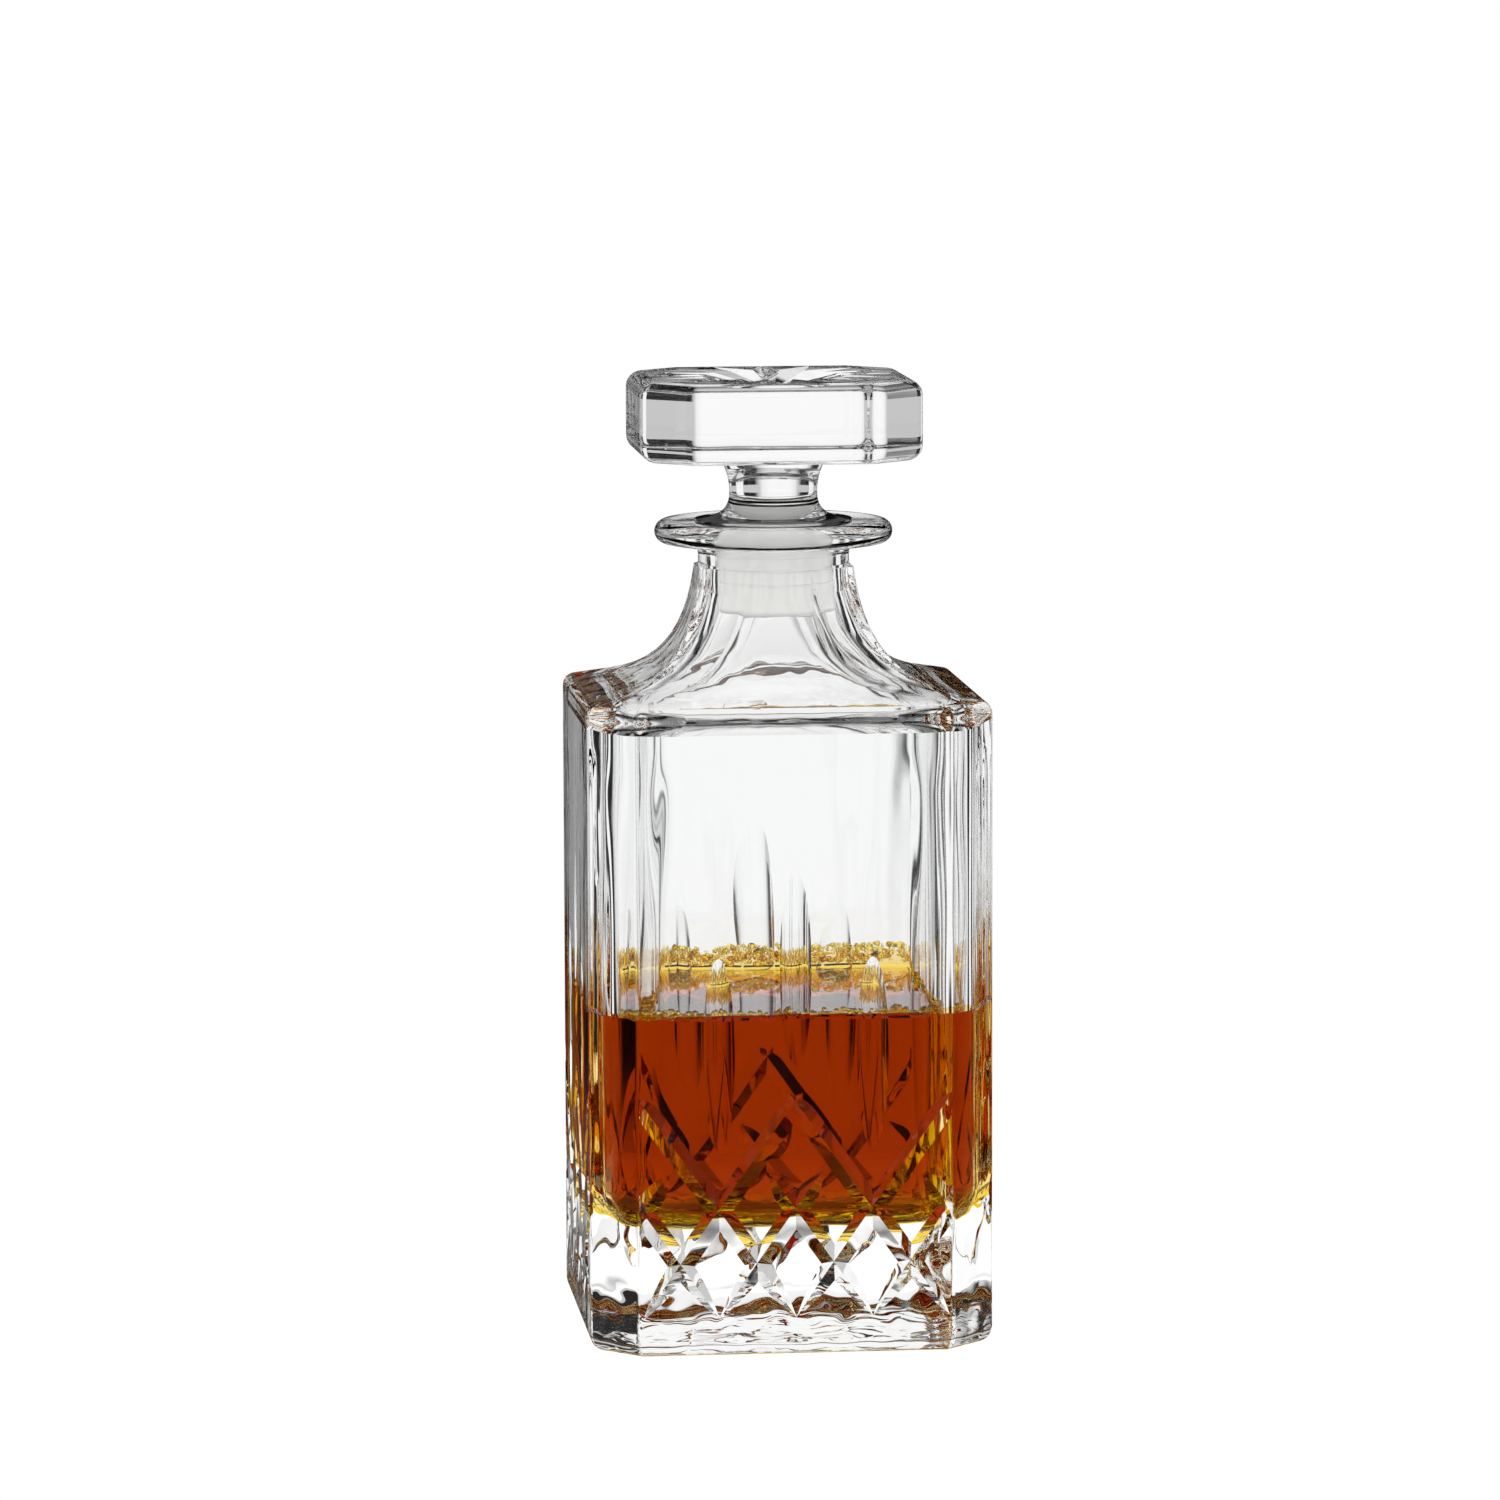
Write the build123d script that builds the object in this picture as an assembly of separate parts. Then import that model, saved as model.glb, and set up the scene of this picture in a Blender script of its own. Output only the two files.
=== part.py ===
from build123d import *
import os
from math import asin, atan, degrees, radians, sqrt, tan

# A square cut-glass decanter with chamfered corners, its lift-out stopper, the stopper's
# plastic seal and the whiskey inside. Millimetres, +Z up, origin under the middle of the foot.
# The front face looks along -Y.

# Bottle, outside
BODY_WIDTH = 95.0  # across the flat sides
CORNER_LEG = 10.5  # how much each chamfered corner takes off a side
FOOT_RADIUS = 4.0
SIDE_TOP_Z = 152.2  # where the flat sides end and the shoulder begins
SHOULDER_EDGE_RADIUS = 3.0
SHOULDER_RISE = 12.0  # degrees above level where the shoulder starts
SHOULDER_KNEE_HALF = 38.0  # its first slope aims at this half width
SHOULDER_THROAT = (21.3, 154.5)  # and its last one leaves this half width and height
SHOULDER_TOP_HALF = 18.3
SHOULDER_TOP_Z = 181.2
UPRIGHT_EDGE_RADIUS = 1.8
NECK_RADIUS = 17.9
NECK_START_Z = 177.2  # the round collar grows out of the shoulder from here
LIP_RADIUS = 28.2
LIP_TOP_Z = 192.1
LIP_THICKNESS = 5.5
LIP_UNDER_RADIUS = 2.6
DISH_RADIUS = 24.6  # the lip's top dips inside this radius
SEAT_Z = 190.5  # the level ring that carries the seal's flange
SEAT_RADIUS = 19.2

# Bottle, inside
WALL = 6.5
FLOOR_Z = 29.0
FLOOR_EDGE_RADIUS = 8.5
FLOOR_DISH_RADIUS = 31.0  # inside it the floor sinks like a shallow bowl
FLOOR_DISH_DEPTH = 2.2
CAVITY_CORNER_RADIUS = 12.0
WALL_SWELL = 1.8  # each wall is this much thicker at its middle than at its ends
CAVITY_STRAIGHT_Z = 145.5
THROAT_AIM = ((41.0, 151.6), (17.8, 150.0))  # half widths and heights that the draw-in aims at
THROAT_LEVELS = 7
THROAT_SWELL = 0.02  # what is left of the walls' swell at the top of the throat
THROAT_ROUNDNESS = 0.995  # corner radius over half width there
BORE_RADIUS = 14.0
BORE_Z = 174.5
PUNT_RADIUS = 36.0
PUNT_DEPTH = 1.6

# Cuts, the same on all four sides: V-edged ones that cross low down, and round-bottomed
# upright blades above them
PITCH = 18.0  # between neighbouring points where cuts cross
CROSSING_Z = 34.6  # the upper row of crossings
CUT_DROP = 25.4  # from that row down to the cuts' lower tips, one pitch across
CUT_HALF_ANGLE = 54.0  # of the wheel's V edge, in degrees
CUT_HALF_WIDTH = 2.6
LONG_CUT_LENGTH = 65.0
SHORT_CUT_LENGTH = 42.0
LOWER_RUN_OUT = 17.0  # over which a cut rises out of the face at its lower tip
UPPER_RUN_OUT = 7.0
BLADE_LENGTH = 45.0
BLADE_HALF_WIDTH = 3.7
BLADE_DEPTH = 1.6
MIDDLE_BLADE_Z = 91.3
OUTER_BLADE_Z = 71.5
PANEL_HALF_WIDTH = 36.8  # the end cuts stop here, with sloped ends, short of the corner facets

# Stopper
HEAD_WIDTH = 66.5
HEAD_CORNER_LEG = 11.5
HEAD_Z = 207.2
HEAD_TOP_Z = 226.2
HEAD_EDGE_RADIUS = 3.8
HEAD_UPRIGHT_RADIUS = 6.0
STAR_CUT_LENGTH = 61.0
STAR_CUT_HALF_WIDTH = 4.2
STAR_CUTS = 8
STEM_RADIUS = 10.4
STEM_TOP_RADIUS = 12.6
STEM_WAIST_Z = 198.6
STEM_CURVE = 4.0  # how far up and down the waist runs nearly straight
STEM_ROOT = 0.6  # how far the stem's flare runs on into the head
SKIRT_RADIUS = 18.6
SKIRT_EDGE = 1.0
PEG_RADIUS = 11.6
PEG_END_Z = 172.2

# Seal: a plastic cup pushed over the peg, with a flange under the stopper's skirt
SEAL_CLEARANCE = 0.05  # between the peg and the cup, all round
SEAL_FLANGE_THICKNESS = 0.8
SEAL_RADIUS = 13.5
SEAL_TIP_RADIUS = 12.9
SEAL_RIB_RADIUS = 13.92
SEAL_RIB_Z = (177.0, 180.6, 184.2)
SEAL_RIB_HALF_HEIGHT = 0.7
SEAL_END_Z = 169.3
SEAL_FLOOR = 1.1
SEAL_END_ROUND = 1.8

WHISKEY_TOP_Z = 79.2

HALF_BODY = BODY_WIDTH / 2
CAVITY_HALF = HALF_BODY - WALL
SKIRT_Z = SEAT_Z + SEAL_FLANGE_THICKNESS
CUT_LEAN = degrees(atan(PITCH / CUT_DROP))
TIP_DISTANCE = sqrt(PITCH**2 + CUT_DROP**2)  # from a crossing to the lower tip of its cuts
OVERRUN = 1.5  # how far a cutting shape stands out past the surface it cuts
BEYOND = 80.0  # more than the bottle's half width, for outlines that are pushed through it


def corner_distance(half):
    """How far a corner facet stands from the axis where the flat sides stand half from it."""
    return sqrt(2) * half - CORNER_LEG / sqrt(2)


def upright_slab(distance, turn):
    """The bottle's side view, pushed through it level, with its walls `distance(half)` from the axis."""
    edge_half = distance(HALF_BODY)
    foot = JernArc((edge_half - FOOT_RADIUS, 0), (1, 0), FOOT_RADIUS, 90)
    wall = Line(foot @ 1, (edge_half, SIDE_TOP_Z - SHOULDER_EDGE_RADIUS))
    edge = JernArc(wall @ 1, (0, 1), SHOULDER_EDGE_RADIUS, 90 - SHOULDER_RISE)
    reach = edge_half - distance(SHOULDER_KNEE_HALF)
    knee = edge @ 1 + Vector(-reach, reach * tan(radians(SHOULDER_RISE)))
    throat = (distance(SHOULDER_THROAT[0]), SHOULDER_THROAT[1])
    shoulder = Bezier(edge @ 1, knee, throat, (distance(SHOULDER_TOP_HALF), SHOULDER_TOP_Z))
    top = Line(shoulder @ 1, (0, SHOULDER_TOP_Z))
    middle = Line((0, SHOULDER_TOP_Z), (0, 0))
    half_view = make_face([Line((0, 0), foot @ 0), foot, wall, edge, shoulder, top, middle])
    view = half_view + mirror(half_view, about=Plane.YZ)
    return Rotation(0, 0, turn) * extrude(Plane.XZ * view, BEYOND, both=True)


def outer_block():
    """Four slabs meet in the chamfered square, and their shoulders meet in its eight facets."""
    square = upright_slab(lambda half: half, 0) & upright_slab(lambda half: half, 90)
    corners = upright_slab(corner_distance, 45) & upright_slab(corner_distance, 135)
    block = square & corners
    return fillet(block.edges().filter_by(GeomType.LINE).filter_by(Axis.Z), UPRIGHT_EDGE_RADIUS)


def neck_and_lip():
    """Collar and flanged lip, turned about the axis, still solid in the middle."""
    rim = LIP_THICKNESS / 2
    under_z = LIP_TOP_Z - LIP_THICKNESS
    collar = Line((NECK_RADIUS, NECK_START_Z), (NECK_RADIUS, under_z - LIP_UNDER_RADIUS))
    under = JernArc(collar @ 1, (0, 1), LIP_UNDER_RADIUS, -90)
    edge = JernArc((LIP_RADIUS - rim, under_z), (1, 0), rim, 180)
    top = Polyline(edge @ 1, (DISH_RADIUS, LIP_TOP_Z), (SEAT_RADIUS, SEAT_Z), (0, SEAT_Z))
    middle = Polyline((0, SEAT_Z), (0, NECK_START_Z), collar @ 0)
    outline = make_face([collar, under, Line(under @ 1, edge @ 0), edge, top, middle])
    return revolve(Plane.XZ * outline, Axis.Z)


def cap_ball_radius(radius, depth):
    """Radius of the ball whose cap is this wide and this deep."""
    return (radius**2 + depth**2) / (2 * depth)


def floor_dish():
    """The bowl in the middle of the floor: a cap of a large ball, cut off above the floor."""
    ball_radius = cap_ball_radius(FLOOR_DISH_RADIUS, FLOOR_DISH_DEPTH)
    ball = Pos(0, 0, FLOOR_Z - FLOOR_DISH_DEPTH + ball_radius) * Sphere(ball_radius)
    keep = Pos(0, 0, FLOOR_Z) * Cylinder(FLOOR_DISH_RADIUS, 2 * OVERRUN + 2 * FLOOR_DISH_DEPTH)
    return ball & keep


def cavity_section(z, half, corner, swell):
    """One level cut through the cavity: four walls that swell inwards, joined by round corners."""
    wall = ThreePointArc((-half, -half), (0, swell - half), (half, -half))
    face = make_face([Rotation(0, 0, 90 * side) * wall for side in range(4)])
    return Pos(0, 0, z) * fillet(face.vertices(), corner)


def cavity():
    """The whole hollow: straight room, shoulder drawn in to a round throat, and the bore."""
    floor = cavity_section(FLOOR_Z, CAVITY_HALF, CAVITY_CORNER_RADIUS, WALL_SWELL)
    room = extrude(floor, CAVITY_STRAIGHT_Z - FLOOR_Z)
    room = fillet(room.faces().sort_by(Axis.Z)[0].edges(), FLOOR_EDGE_RADIUS)
    draw_in = Bezier((CAVITY_HALF, CAVITY_STRAIGHT_Z), *THROAT_AIM, (BORE_RADIUS, BORE_Z))
    roundness = CAVITY_CORNER_RADIUS / CAVITY_HALF
    sections = []
    for level in range(THROAT_LEVELS):
        share = level / (THROAT_LEVELS - 1)
        point = draw_in @ share
        corner = point.X * (roundness + (THROAT_ROUNDNESS - roundness) * share**1.5)
        swell = THROAT_SWELL + (WALL_SWELL - THROAT_SWELL) * (1 - share) ** 2
        sections.append(cavity_section(point.Y, point.X, corner, swell))
    bore_base = BORE_Z - OVERRUN / 2
    bore = Pos(0, 0, bore_base) * extrude(Circle(BORE_RADIUS), SEAT_Z + OVERRUN - bore_base)
    return room + floor_dish() + loft(sections) + bore


def wheel_radius(run_out, depth):
    """Of a wheel that is sunk to this depth and leaves the face this far on."""
    return (run_out**2 + depth**2) / (2 * depth)


def run_out_cut(edge, y, run_out, depth, way):
    """The end of a cut, where the wheel leaves the face towards +Y or -Y, way being 1 or -1."""
    radius = wheel_radius(run_out, depth)
    spindle = Axis((0, y, radius - depth), (1, 0, 0))
    sweep = degrees(asin((run_out + OVERRUN) / radius))
    start = Pos(0, y, 0) * edge
    return revolve(start if way > 0 else start.rotate(spindle, -sweep), spindle, sweep)


def wedge_cut(length, half_width, lower_run_out, upper_run_out):
    """A V-edged wheel drawn along Y through the level face below it, from tip to tip."""
    depth = half_width / tan(radians(CUT_HALF_ANGLE))
    side = (depth + OVERRUN) * tan(radians(CUT_HALF_ANGLE))
    edge = Plane.XZ * make_face(Polyline((0, -depth), (side, OVERRUN), (-side, OVERRUN), close=True))
    low = lower_run_out - length / 2
    high = length / 2 - upper_run_out
    cut = run_out_cut(edge, low, lower_run_out, depth, -1)
    cut += run_out_cut(edge, high, upper_run_out, depth, 1)
    if high > low:
        cut += extrude(Pos(0, high, 0) * edge, high - low)
    return cut


def blade_cut():
    """A round-edged wheel sunk once into the level face, which leaves a long oval hollow."""
    edge_radius = wheel_radius(BLADE_HALF_WIDTH, BLADE_DEPTH)
    disc = Pos(0, edge_radius - BLADE_DEPTH) * Circle(edge_radius)
    half_disc = disc & Pos(0, -BLADE_DEPTH) * Rectangle(2 * edge_radius, 2 * (BLADE_DEPTH + OVERRUN))
    edge = Plane.XZ * half_disc
    run_out = BLADE_LENGTH / 2
    return run_out_cut(edge, 0, run_out, BLADE_DEPTH, -1) + run_out_cut(edge, 0, run_out, BLADE_DEPTH, 1)


def side_cuts():
    """All the cuts of the front face, in that face's own plane: X across it, Y up, Z out."""
    blade = blade_cut()
    cuts = [Pos(0, MIDDLE_BLADE_Z) * blade]
    for column in (-2, -1, 0, 1, 2):
        length = LONG_CUT_LENGTH if column % 2 else SHORT_CUT_LENGTH
        cut = wedge_cut(length, CUT_HALF_WIDTH, LOWER_RUN_OUT, UPPER_RUN_OUT)
        crossing = Pos(column * PITCH, CROSSING_Z)
        for way in (-1, 1):
            along = Rotation(0, 0, way * CUT_LEAN) * Pos(0, length / 2 - TIP_DISTANCE)
            cuts.append(crossing * along * cut)
        if column % 2:
            cuts.append(Pos(column * PITCH, OUTER_BLADE_Z) * blade)
    panel = Rectangle(2 * PANEL_HALF_WIDTH + 2 * OVERRUN, 2 * SIDE_TOP_Z)
    panel = Pos(0, 0, OVERRUN) * extrude(panel, -PANEL_HALF_WIDTH / 2, taper=45)
    front = Plane(origin=(0, -HALF_BODY, 0), x_dir=(1, 0, 0), z_dir=(0, -1, 0))
    return [front * (cut & panel) for cut in cuts]


def punt():
    """The shallow dome under the foot, which leaves a level ring to stand on."""
    ball_radius = cap_ball_radius(PUNT_RADIUS, PUNT_DEPTH)
    return Pos(0, 0, PUNT_DEPTH - ball_radius) * Sphere(ball_radius)


def decanter_body(hollow):
    """The bottle in one piece of glass: the outside, less the hollow, the punt and the cuts."""
    glass = outer_block() + neck_and_lip()
    glass = glass - hollow - punt()
    front = side_cuts()
    cuts = [Rotation(0, 0, 90 * side) * cut for side in range(4) for cut in front]
    return glass - cuts


def stopper():
    """One piece of glass: chamfered square head with a star cut in its top, waisted stem and peg."""
    octagon = chamfer(Rectangle(HEAD_WIDTH, HEAD_WIDTH).vertices(), HEAD_CORNER_LEG)
    head = Pos(0, 0, HEAD_Z) * extrude(octagon, HEAD_TOP_Z - HEAD_Z)
    head = fillet(head.edges().filter_by(Axis.Z), HEAD_UPRIGHT_RADIUS)
    rims = head.faces().filter_by(Axis.Z)
    head = fillet([e for face in rims for e in face.edges()], HEAD_EDGE_RADIUS)
    star_cut = wedge_cut(STAR_CUT_LENGTH, STAR_CUT_HALF_WIDTH, STAR_CUT_LENGTH / 2, STAR_CUT_LENGTH / 2)
    for ray in range(STAR_CUTS):
        head -= Pos(0, 0, HEAD_TOP_Z) * Rotation(0, 0, 180 / STAR_CUTS * ray) * star_cut

    skirt_edge = (SKIRT_RADIUS, SKIRT_Z + SKIRT_EDGE)
    waist = (STEM_RADIUS, STEM_WAIST_Z)
    peg = Polyline(
        (0, HEAD_Z + STEM_ROOT),
        (0, PEG_END_Z),
        (PEG_RADIUS, PEG_END_Z),
        (PEG_RADIUS, SKIRT_Z),
        (SKIRT_RADIUS, SKIRT_Z),
        skirt_edge,
    )
    skirt_aim = (STEM_RADIUS + 2 * SKIRT_EDGE, SKIRT_Z + 1.3 * SKIRT_EDGE)
    flare = Bezier(skirt_edge, skirt_aim, (STEM_RADIUS, STEM_WAIST_Z - STEM_CURVE), waist)
    root = (STEM_TOP_RADIUS + STEM_ROOT, HEAD_Z + STEM_ROOT)
    root_aim = (STEM_TOP_RADIUS - 0.8, HEAD_Z - 2.0)
    neck = Bezier(waist, (STEM_RADIUS, STEM_WAIST_Z + STEM_CURVE), root_aim, root)
    shaft = make_face([peg, flare, neck, Line(root, peg @ 0)])
    return head + revolve(Plane.XZ * shaft, Axis.Z)


def stopper_seal():
    """A plastic cup over the peg: flange, ribbed wall that narrows to a closed round end."""
    inner = PEG_RADIUS + SEAL_CLEARANCE
    outline = Polyline(
        (0, SEAL_END_Z),
        (SEAL_TIP_RADIUS, SEAL_END_Z),
        (SEAL_RADIUS, SEAL_RIB_Z[0] - SEAL_RIB_HALF_HEIGHT),
        (SEAL_RADIUS, SEAT_Z),
        (SKIRT_RADIUS, SEAT_Z),
        (SKIRT_RADIUS, SKIRT_Z),
        (inner, SKIRT_Z),
        (inner, SEAL_END_Z + SEAL_FLOOR),
        (0, SEAL_END_Z + SEAL_FLOOR),
        close=True,
    )
    cup_face = make_face(outline)
    tip = cup_face.vertices().sort_by(Axis.Y)[0:2].sort_by(Axis.X)[-1]
    cup = revolve(Plane.XZ * fillet(tip, SEAL_END_ROUND), Axis.Z)
    for rib_z in SEAL_RIB_Z:
        ridge = Polyline(
            (inner + SEAL_RIB_HALF_HEIGHT, rib_z - SEAL_RIB_HALF_HEIGHT),
            (SEAL_RIB_RADIUS, rib_z - SEAL_RIB_HALF_HEIGHT / 4),
            (SEAL_RIB_RADIUS, rib_z + SEAL_RIB_HALF_HEIGHT / 4),
            (inner + SEAL_RIB_HALF_HEIGHT, rib_z + SEAL_RIB_HALF_HEIGHT),
            close=True,
        )
        cup += revolve(Plane.XZ * make_face(ridge), Axis.Z)
    return cup


def whiskey(hollow):
    """The liquid fills the cavity up to its level."""
    below_level = Pos(0, 0, WHISKEY_TOP_Z - BEYOND) * Box(2 * BEYOND, 2 * BEYOND, 2 * BEYOND)
    return hollow & below_level


os.makedirs("parts", exist_ok=True)
hollow = cavity()
pieces = {
    "decanter_body": decanter_body(hollow),
    "stopper": stopper(),
    "stopper_seal": stopper_seal(),
    "whiskey": whiskey(hollow),
}
for name, shape in pieces.items():
    export_step(shape, f"parts/{name}.step")
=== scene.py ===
import math
import random

import bmesh
import bpy
from mathutils import Matrix, Vector, noise


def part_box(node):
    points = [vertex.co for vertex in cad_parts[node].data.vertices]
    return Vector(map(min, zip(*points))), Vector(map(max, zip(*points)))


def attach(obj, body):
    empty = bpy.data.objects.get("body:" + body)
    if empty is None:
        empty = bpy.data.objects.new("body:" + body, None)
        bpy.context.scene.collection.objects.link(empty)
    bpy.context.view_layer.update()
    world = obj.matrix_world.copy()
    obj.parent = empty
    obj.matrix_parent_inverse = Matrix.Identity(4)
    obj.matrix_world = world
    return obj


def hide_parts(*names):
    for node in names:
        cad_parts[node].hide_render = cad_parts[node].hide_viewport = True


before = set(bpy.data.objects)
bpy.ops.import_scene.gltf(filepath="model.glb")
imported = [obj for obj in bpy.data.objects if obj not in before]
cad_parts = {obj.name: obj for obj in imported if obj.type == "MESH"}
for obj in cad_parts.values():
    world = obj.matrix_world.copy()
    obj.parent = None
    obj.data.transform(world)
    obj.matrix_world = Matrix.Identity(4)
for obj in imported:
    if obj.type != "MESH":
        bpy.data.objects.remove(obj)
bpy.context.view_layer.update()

# ---------------------------------------------------------------------------
# Camera. It stands a little left of the front face and above the stopper, far
# enough back for the sides to stay nearly parallel, and rolled by a trace.
# ---------------------------------------------------------------------------
camera_azimuth = math.radians(-5.9)
camera_distance = 1.755
camera_height = 0.3495
aim_height = 0.1369
aim_left = 0.0057
camera_roll = math.radians(-0.2)

camera_data = bpy.data.cameras.new("camera")
camera_data.sensor_width = 36.0
camera_data.lens = 178.5
camera_data.clip_start = 0.05
camera_data.clip_end = 50.0
camera = bpy.data.objects.new("camera", camera_data)
bpy.context.scene.collection.objects.link(camera)
toward_camera = Vector((math.sin(camera_azimuth), -math.cos(camera_azimuth), 0.0))
camera_left = Vector((-math.cos(camera_azimuth), -math.sin(camera_azimuth), 0.0))
camera.location = toward_camera * camera_distance + Vector((0.0, 0.0, camera_height))
aim = camera_left * aim_left + Vector((0.0, 0.0, aim_height))
look = (aim - camera.location).to_track_quat("-Z", "Y").to_matrix().to_4x4()
camera.matrix_world = Matrix.Translation(camera.location) @ look @ Matrix.Rotation(camera_roll, 4, "Z")
bpy.context.scene.camera = camera

# ---------------------------------------------------------------------------
# Bottle. One pressed and fire-polished piece of clear crystal glass, with the
# wedge cuts pressed sharp. The polish leaves faint waves on every surface, and
# the mould's plunger leaves upright flutes on the inner walls.
# ---------------------------------------------------------------------------
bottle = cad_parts["decanter_body"]
glass_ior = 1.52


def new_material(name):
    material = bpy.data.materials.new(name)
    material.use_nodes = True
    return material, material.node_tree, material.node_tree.nodes["Principled BSDF"]


def join(tree, source, socket, target, into):
    tree.links.new(source.outputs[socket], target.inputs[into])


def calculate(tree, operation, *values):
    """A Math node's result; each value is a number or another node's output."""
    node = tree.nodes.new("ShaderNodeMath")
    node.operation = operation
    for index, value in enumerate(values):
        if isinstance(value, (int, float)):
            node.inputs[index].default_value = value
        else:
            tree.links.new(value, node.inputs[index])
    return node.outputs["Value"]


def ease(tree, value, start, end, at_start=0.0, at_end=1.0, curve="SMOOTHSTEP"):
    """Goes from at_start to at_end while the value goes from start to end."""
    node = tree.nodes.new("ShaderNodeMapRange")
    node.interpolation_type = curve
    node.inputs["From Min"].default_value = start
    node.inputs["From Max"].default_value = end
    node.inputs["To Min"].default_value = at_start
    node.inputs["To Max"].default_value = at_end
    tree.links.new(value, node.inputs["Value"])
    return node.outputs["Result"]


def wave_group():
    """Height of the faint waves that fire polishing leaves, drawn out upwards by Rise."""
    group = bpy.data.node_groups.new("fire_polish_waves", "ShaderNodeTree")
    for socket_name, default in (("Size", 60.0), ("Rise", 1.0), ("Seed", 0.0)):
        socket = group.interface.new_socket(name=socket_name, in_out="INPUT", socket_type="NodeSocketFloat")
        socket.default_value = default
    group.interface.new_socket(name="Height", in_out="OUTPUT", socket_type="NodeSocketFloat")
    given = group.nodes.new("NodeGroupInput")
    out = group.nodes.new("NodeGroupOutput")
    place = group.nodes.new("ShaderNodeTexCoord")
    stretch = group.nodes.new("ShaderNodeCombineXYZ")
    stretch.inputs["X"].default_value = 1.0
    stretch.inputs["Y"].default_value = 1.0
    drawn = group.nodes.new("ShaderNodeVectorMath")
    drawn.operation = "MULTIPLY"
    swell = group.nodes.new("ShaderNodeTexNoise")
    swell.noise_dimensions = "4D"
    swell.inputs["Detail"].default_value = 1.0
    join(group, given, "Rise", stretch, "Z")
    join(group, place, "Object", drawn, 0)
    join(group, stretch, "Vector", drawn, 1)
    join(group, drawn, "Vector", swell, "Vector")
    join(group, given, "Size", swell, "Scale")
    join(group, given, "Seed", swell, "W")
    join(group, swell, "Fac", out, "Height")
    return group


waves = wave_group()


def add_waves(tree, size, rise, seed, height, below=None):
    """A bump of the waves, height metres deep."""
    pattern = tree.nodes.new("ShaderNodeGroup")
    pattern.node_tree = waves
    pattern.inputs["Size"].default_value = size
    pattern.inputs["Rise"].default_value = rise
    pattern.inputs["Seed"].default_value = seed
    bump = tree.nodes.new("ShaderNodeBump")
    bump.inputs["Distance"].default_value = height
    join(tree, pattern, "Height", bump, "Height")
    if below is not None:
        join(tree, below, "Normal", bump, "Normal")
    return bump


def clear_crystal(name):
    """Clear glass with a trace of grey; gives its material, node tree and shader."""
    material, tree, glass = new_material(name)
    glass.inputs["Base Color"].default_value = (0.985, 0.99, 0.988, 1.0)
    glass.inputs["Roughness"].default_value = 0.0
    glass.inputs["IOR"].default_value = glass_ior
    glass.inputs["Transmission Weight"].default_value = 1.0
    return material, tree, glass


bottle_glass, tree, glass = clear_crystal("clear_crystal_bottle")
whiskey_low, whiskey_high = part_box("whiskey")
level = whiskey_high.z
half_width = whiskey_high.x

# The plunger's side of the walls is rougher than the mould's, most of all near
# the corners, where its waves bend the view into dark and bright upright lines.
wall_reach = half_width + 0.002
flat_middle = 0.022
corner_start = 0.034
left_in_middle = 0.12
room_top = 0.143
room_fade = 0.013
place = tree.nodes.new("ShaderNodeTexCoord")
point = tree.nodes.new("ShaderNodeSeparateXYZ")
join(tree, place, "Object", point, "Vector")
height = point.outputs["Z"]
across = calculate(tree, "ABSOLUTE", point.outputs["X"])
along = calculate(tree, "ABSOLUTE", point.outputs["Y"])
inside = calculate(tree, "LESS_THAN", calculate(tree, "MAXIMUM", across, along), wall_reach)
off_middle = calculate(tree, "MINIMUM", across, along)
to_corner = ease(tree, off_middle, flat_middle, corner_start, left_in_middle)
in_room = ease(tree, height, room_top, room_top - room_fade)
plunger_side = calculate(tree, "MULTIPLY", inside, calculate(tree, "MULTIPLY", to_corner, in_room))

# Foot and shoulder are thick, so they sink in as they cool and keep dimples.
foot_top = 0.034
shoulder_bottom = 0.149
shoulder_share = 0.35
by_foot = calculate(tree, "LESS_THAN", height, foot_top)
above_room = calculate(tree, "GREATER_THAN", height, shoulder_bottom)
dimpled = calculate(tree, "ADD", by_foot, calculate(tree, "MULTIPLY", above_room, shoulder_share))
soft = add_waves(tree, size=45.0, rise=0.6, seed=0.0, height=0.0002)
dimples = add_waves(tree, size=120.0, rise=0.8, seed=5.0, height=0.0009, below=soft)
flutes = add_waves(tree, size=90.0, rise=0.12, seed=3.0, height=0.0045, below=dimples)
tree.links.new(dimpled, dimples.inputs["Strength"])
tree.links.new(plunger_side, flutes.inputs["Strength"])
join(tree, flutes, "Normal", glass, "Normal")

# Where the drink wets the inner wall, light bends by the ratio of glass to drink.
whiskey_ior = 1.36
above_floor = calculate(tree, "GREATER_THAN", height, whiskey_low.z - 0.002)
below_level = calculate(tree, "LESS_THAN", height, level)
wet = calculate(tree, "MULTIPLY", inside, calculate(tree, "MULTIPLY", above_floor, below_level))
drop_in_ior = calculate(tree, "MULTIPLY", wet, glass_ior - glass_ior / whiskey_ior)
tree.links.new(calculate(tree, "SUBTRACT", glass_ior, drop_in_ior), glass.inputs["IOR"])
bottle.material_slots[0].material = bottle_glass

# ---------------------------------------------------------------------------
# Stopper. One piece of the same glass: chamfered square head with a star cut in
# its top, waisted stem and peg. It is pressed and polished like the bottle.
# ---------------------------------------------------------------------------
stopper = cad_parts["stopper"]
stopper_glass, tree, glass = clear_crystal("clear_crystal_stopper")
soft = add_waves(tree, size=60.0, rise=1.0, seed=7.0, height=0.00012)
join(tree, soft, "Normal", glass, "Normal")
stopper.material_slots[0].material = stopper_glass

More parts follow.
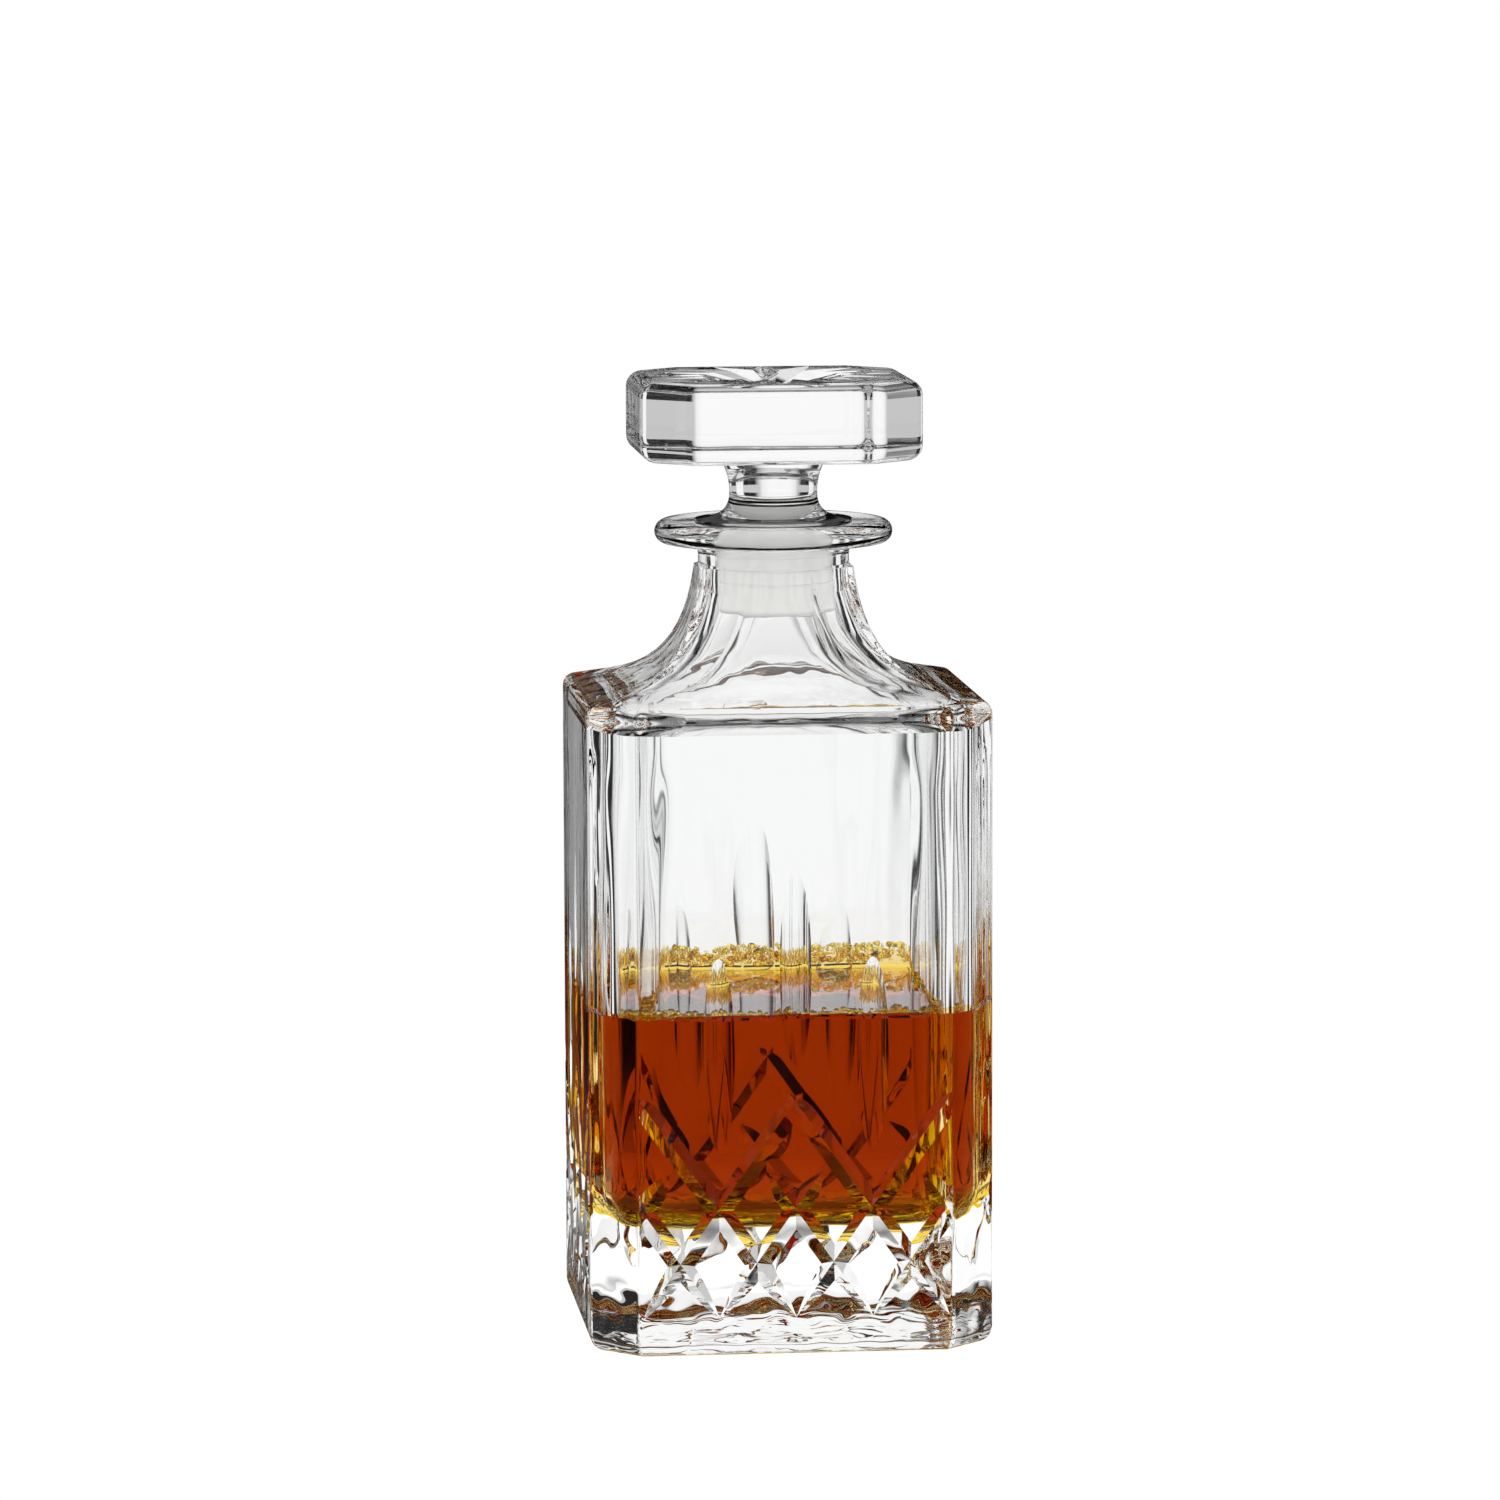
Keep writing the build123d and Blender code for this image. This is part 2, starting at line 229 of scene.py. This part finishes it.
# ---------------------------------------------------------------------------
# Seal. A thin milky polyethylene cup, moulded with ribs and pushed on the
# stopper's peg. It scatters light, so it shows pale through the neck's glass.
# ---------------------------------------------------------------------------
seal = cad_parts["stopper_seal"]
seal_plastic, tree, plastic = new_material("milky_polyethylene")
plastic.inputs["Base Color"].default_value = (0.95, 0.945, 0.93, 1.0)
plastic.inputs["Roughness"].default_value = 0.5
plastic.inputs["Transmission Weight"].default_value = 0.35
plastic.inputs["IOR"].default_value = 1.51
seal.material_slots[0].material = seal_plastic

# ---------------------------------------------------------------------------
# Whiskey. The drink fills the room up to its level, creeps a little up the
# glass all round, and reaches a hair into the wall so that no film of air
# shows between the two.
# ---------------------------------------------------------------------------
whiskey_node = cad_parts["whiskey"]
into_wall = 0.00012
rim_step = 0.0012
creep = 0.0012
creep_at_back = 0.0026
back_begins = 0.7
back_full = 0.9
creep_change = 0.0010
creep_grain = 150.0
fine_grain = 420.0
fine_share = 0.4
creep_rings = ((0.0004, 1.0), (0.0005, 0.66), (0.0006, 0.41), (0.0008, 0.22), (0.001, 0.09), (0.001, 0.0))

shape = bmesh.new()
shape.from_mesh(whiskey_node.data)
bmesh.ops.remove_doubles(shape, verts=shape.verts, dist=1e-7)
on_top = [f for f in shape.faces if f.calc_center_median().z > level - 1e-6]
top = bmesh.ops.dissolve_faces(shape, faces=on_top, use_verts=True)["region"][0]
swell_across = 1 + into_wall / half_width
swell_down = 1 + into_wall / (level - whiskey_low.z)
at_level = Matrix.Translation((0.0, 0.0, -level))
bmesh.ops.scale(shape, vec=(swell_across, swell_across, swell_down), space=at_level, verts=shape.verts)
for edge in list(top.edges):
    pieces = int(edge.calc_length() / rim_step)
    if pieces > 0:
        bmesh.ops.subdivide_edges(shape, edges=[edge], cuts=pieces)
top = max(shape.faces, key=lambda f: len(f.verts))


def creep_height(spot):
    """How far the drink has crept up the glass at this place on the rim."""
    uneven = noise.noise(spot * creep_grain) + fine_share * noise.noise(spot * fine_grain)
    toward_back = (spot.y / half_width - back_begins) / (back_full - back_begins)
    at_back = min(1.0, max(0.0, toward_back))
    return creep + creep_at_back * at_back + creep_change * uneven


def into_object(shape, name):
    """Makes an object of the shape, with smooth faces, and frees the shape."""
    for face in shape.faces:
        face.smooth = True
    mesh = bpy.data.meshes.new(name)
    shape.to_mesh(mesh)
    shape.free()
    made = bpy.data.objects.new(name, mesh)
    bpy.context.scene.collection.objects.link(made)
    return made


rim = [v.co + Vector((0.0, 0.0, creep_height(v.co))) for v in top.verts]
for inward, share in creep_rings:
    known = set(shape.verts)
    bmesh.ops.inset_region(shape, faces=[top], thickness=inward, use_even_offset=True)
    for v in set(shape.verts) - known:
        v.co.z += share * creep_height(v.co)
drink = into_object(shape, "whiskey_drink")
drink.data.set_sharp_from_angle(angle=math.radians(50.0))

amber, tree, liquid = new_material("amber_whiskey")
liquid.inputs["Base Color"].default_value = (1.0, 0.80, 0.50, 1.0)
liquid.inputs["Roughness"].default_value = 0.0
liquid.inputs["Transmission Weight"].default_value = 1.0
absorb = tree.nodes.new("ShaderNodeVolumeAbsorption")
absorb.inputs["Color"].default_value = (0.970, 0.911, 0.05, 1.0)
absorb.inputs["Density"].default_value = 500.0
join(tree, absorb, "Volume", tree.nodes["Material Output"], "Volume")

# The drink's own sides bend nothing, because the glass around them already does.
level_band = 0.0006
level_slope = 0.7
place = tree.nodes.new("ShaderNodeTexCoord")
point = tree.nodes.new("ShaderNodeSeparateXYZ")
facing = tree.nodes.new("ShaderNodeSeparateXYZ")
join(tree, place, "Object", point, "Vector")
join(tree, place, "Normal", facing, "Vector")
near_level = calculate(tree, "COMPARE", point.outputs["Z"], level, level_band)
upright = calculate(tree, "ABSOLUTE", facing.outputs["Z"])
level_face = calculate(tree, "GREATER_THAN", upright, level_slope)
open_top = calculate(tree, "MULTIPLY", near_level, level_face)
liquid.inputs["IOR"].default_value = whiskey_ior
top_bend = calculate(tree, "MULTIPLY", open_top, whiskey_ior - 1.0)
tree.links.new(calculate(tree, "ADD", top_bend, 1.0), liquid.inputs["IOR"])
drink.data.materials.append(amber)
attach(drink, "decanter")
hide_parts("whiskey")

# ---------------------------------------------------------------------------
# Foam. Small bubbles of drink stand in a ring against the glass, left by the
# pour. They crowd at the corners and along the back.
# ---------------------------------------------------------------------------
bubble_count = 4200
foam_back = 0.8
foam_corner = 0.75
patch_grain = 55.0
patch_fine_grain = 240.0
patch_fine_share = 0.35
patch_lift = 0.25
crowd_at_back = 0.85
crowd_at_front = 0.16
crowd_at_corner = 0.3
crowd_in_patch = 0.5
least_radius_at_back = 0.0003
least_radius_at_front = 0.0002
radius_spread = 0.0006
few_are_large = 2.5
rise_at_back = 0.0044
rise_at_front = 0.0011
rise_in_patch = 0.001
share_below_rim = 0.62
shape = bmesh.new()
bmesh.ops.create_icosphere(shape, subdivisions=2, radius=1.0)
unit_bubble = bpy.data.meshes.new("unit_bubble")
shape.to_mesh(unit_bubble)
shape.free()
foam = bmesh.new()
draw = random.Random(7)
rim_length = sum((rim[i] - rim[i - 1]).length for i in range(len(rim)))
owed = 0.0
for i in range(len(rim)):
    start, run = rim[i - 1], rim[i] - rim[i - 1]
    owed += bubble_count * run.length / rim_length
    while owed > 1.0:
        owed -= 1.0
        spot = start + run * draw.random()
        at_back = spot.y > half_width * foam_back
        at_corner = min(abs(spot.x), abs(spot.y)) / half_width > foam_corner
        patch = noise.noise(spot * patch_grain) + patch_lift
        patch = max(0.0, patch + patch_fine_share * noise.noise(spot * patch_fine_grain))
        crowd = crowd_at_front + crowd_at_corner * at_corner + crowd_in_patch * patch
        rise = rise_at_front + rise_in_patch * patch
        least_radius = least_radius_at_front
        if at_back:
            crowd = crowd_at_back
            rise = rise_at_back
            least_radius = least_radius_at_back
        if draw.random() > crowd:
            continue
        radius = least_radius + radius_spread * draw.random() ** few_are_large
        off_wall = into_wall + radius * (1.0 + draw.random())
        inward = Vector((spot.x, spot.y, 0.0)).normalized() * off_wall
        bubble_height = spot.z + (draw.random() - share_below_rim) * rise
        at = Vector((spot.x - inward.x, spot.y - inward.y, bubble_height))
        bubble_place = Matrix.Translation(at) @ Matrix.Scale(radius, 4)
        unit_bubble.transform(bubble_place)
        foam.from_mesh(unit_bubble)
        unit_bubble.transform(bubble_place.inverted())
foam_ring = into_object(foam, "whiskey_foam")
bpy.data.meshes.remove(unit_bubble)

golden, tree, bubble = new_material("golden_bubbles")
bubble.inputs["Base Color"].default_value = (1.0, 0.87, 0.36, 1.0)
bubble.inputs["Roughness"].default_value = 0.0
bubble.inputs["IOR"].default_value = 1.3
bubble.inputs["Transmission Weight"].default_value = 1.0
foam_ring.data.materials.append(golden)
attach(foam_ring, "decanter")

# ---------------------------------------------------------------------------
# Floor. A round pale light table that fades out towards its edge, with a painted
# shadow where the bottle covers it. Seen directly it is white, and it isn't mirrored.
# ---------------------------------------------------------------------------
table_radius = 0.42
table_solid = table_radius * 0.35
table_glow = 0.9
table_drop = 0.00005
painted_shadow_radius = 0.055
painted_shadow_edge = painted_shadow_radius * 1.35
shape = bmesh.new()
bmesh.ops.create_circle(shape, cap_ends=True, segments=96, radius=table_radius)
bmesh.ops.translate(shape, vec=(0.0, 0.0, -table_drop), verts=shape.verts)
table = into_object(shape, "table")
pale, tree, board = new_material("pale_table")
board.inputs["Base Color"].default_value = (0.1, 0.1, 0.1, 1.0)
board.inputs["Roughness"].default_value = 0.9
board.inputs["Specular IOR Level"].default_value = 0.0
board.inputs["Emission Color"].default_value = (1.0, 1.0, 1.0, 1.0)
place = tree.nodes.new("ShaderNodeTexCoord")
distance = tree.nodes.new("ShaderNodeVectorMath")
distance.operation = "LENGTH"
join(tree, place, "Object", distance, 0)
from_middle = distance.outputs["Value"]
path = tree.nodes.new("ShaderNodeLightPath")
# Painted shadow: the table gives no glow where the bottle covers it, and its glow rises to full just past
# that.
glow_with_painted_shadow = ease(tree, from_middle, painted_shadow_radius, painted_shadow_edge, at_end=table_glow)
not_mirrored = calculate(tree, "SUBTRACT", 1.0, path.outputs["Is Reflection Ray"])
glow = calculate(tree, "MULTIPLY", glow_with_painted_shadow, not_mirrored)
glow = calculate(tree, "MAXIMUM", glow, path.outputs["Is Camera Ray"])
tree.links.new(glow, board.inputs["Emission Strength"])
tree.links.new(ease(tree, from_middle, table_radius, table_solid), board.inputs["Alpha"])
table.data.materials.append(pale)

# ---------------------------------------------------------------------------
# Light. Four bright panels stand square to the bottle's sides, with broad dark
# cards and a thin bright slit between them, which draw the glass in dark lines.
# ---------------------------------------------------------------------------
panel_ring = ((0.0, 1.0), (0.05, 1.0), (0.08, 0.02), (0.48, 0.02), (0.6, 0.5), (0.74, 0.9), (0.9, 1.0))
overhead_band = (0.35, 0.7)
overhead_light = 0.2
card_edge_band = (0.095, 0.08)
card_edge_light = 0.6
strip_side_band = (0.75, 0.85)
strip_foot_band = (0.1, 0.15)
strip_head_band = (0.75, 0.7)
mirrored_strip = 0.12
mirrored_room = 0.01
light_on_plastic = 0.75
light_on_plastic_in_glass = 2.6

world = bpy.data.worlds.new("studio")
bpy.context.scene.world = world
world.use_nodes = True
tree = world.node_tree
tree.nodes.clear()

place = tree.nodes.new("ShaderNodeTexCoord")
direction = tree.nodes.new("ShaderNodeSeparateXYZ")
join(tree, place, "Generated", direction, "Vector")
upward = direction.outputs["Z"]
around = calculate(tree, "ARCTAN2", direction.outputs["Y"], direction.outputs["X"])
four_sided = calculate(tree, "COSINE", calculate(tree, "MULTIPLY", around, 4.0))
panels = tree.nodes.new("ShaderNodeValToRGB")
for position, brightness in panel_ring[2:]:
    panels.color_ramp.elements.new(position)
for element, (position, brightness) in zip(panels.color_ramp.elements, panel_ring):
    element.position = position
    element.color = (brightness, brightness, brightness, 1.0)
tree.links.new(ease(tree, four_sided, -1.0, 1.0, curve="LINEAR"), panels.inputs["Fac"])
overhead = ease(tree, upward, *overhead_band, 1.0, overhead_light)
off_level = calculate(tree, "ABSOLUTE", upward)
over_cards = ease(tree, off_level, *card_edge_band, at_end=card_edge_light)
round_about = calculate(tree, "MAXIMUM", panels.outputs["Color"], over_cards)
through = calculate(tree, "MULTIPLY", round_about, overhead)
strips = ease(tree, four_sided, *strip_side_band, at_end=mirrored_strip)
strip_foot = ease(tree, upward, *strip_foot_band)
strip_head = ease(tree, upward, *strip_head_band)
strip_light = calculate(tree, "MULTIPLY", strips, calculate(tree, "MULTIPLY", strip_foot, strip_head))
mirrored = calculate(tree, "ADD", strip_light, mirrored_room)
path = tree.nodes.new("ShaderNodeLightPath")
not_diffuse = calculate(tree, "SUBTRACT", 1.0, path.outputs["Is Diffuse Ray"])
reflected = calculate(tree, "MULTIPLY", path.outputs["Is Reflection Ray"], not_diffuse)


def choose(switch, off, on):
    """Gives off where the switch is 0 and on where it is 1."""
    node = tree.nodes.new("ShaderNodeMix")
    tree.links.new(switch, node.inputs["Factor"])
    for name, value in (("A", off), ("B", on)):
        if isinstance(value, float):
            node.inputs[name].default_value = value
        else:
            tree.links.new(value, node.inputs[name])
    return node.outputs["Result"]


scattered = calculate(tree, "GREATER_THAN", path.outputs["Diffuse Depth"], 0.5)
in_glass = calculate(tree, "GREATER_THAN", path.outputs["Transmission Depth"], 0.5)
on_plastic = choose(in_glass, light_on_plastic, light_on_plastic_in_glass)
seen = choose(scattered, choose(reflected, through, mirrored), on_plastic)
strength = choose(path.outputs["Is Camera Ray"], seen, 1.0)
background = tree.nodes.new("ShaderNodeBackground")
background.inputs["Color"].default_value = (1.0, 1.0, 1.0, 1.0)
tree.links.new(strength, background.inputs["Strength"])
output = tree.nodes.new("ShaderNodeOutputWorld")
join(tree, background, "Background", output, "Surface")

scene = bpy.context.scene
scene.view_settings.view_transform = "Standard"
scene.cycles.max_bounces = 32
scene.cycles.transmission_bounces = 32
scene.cycles.glossy_bounces = 16
scene.cycles.transparent_max_bounces = 16
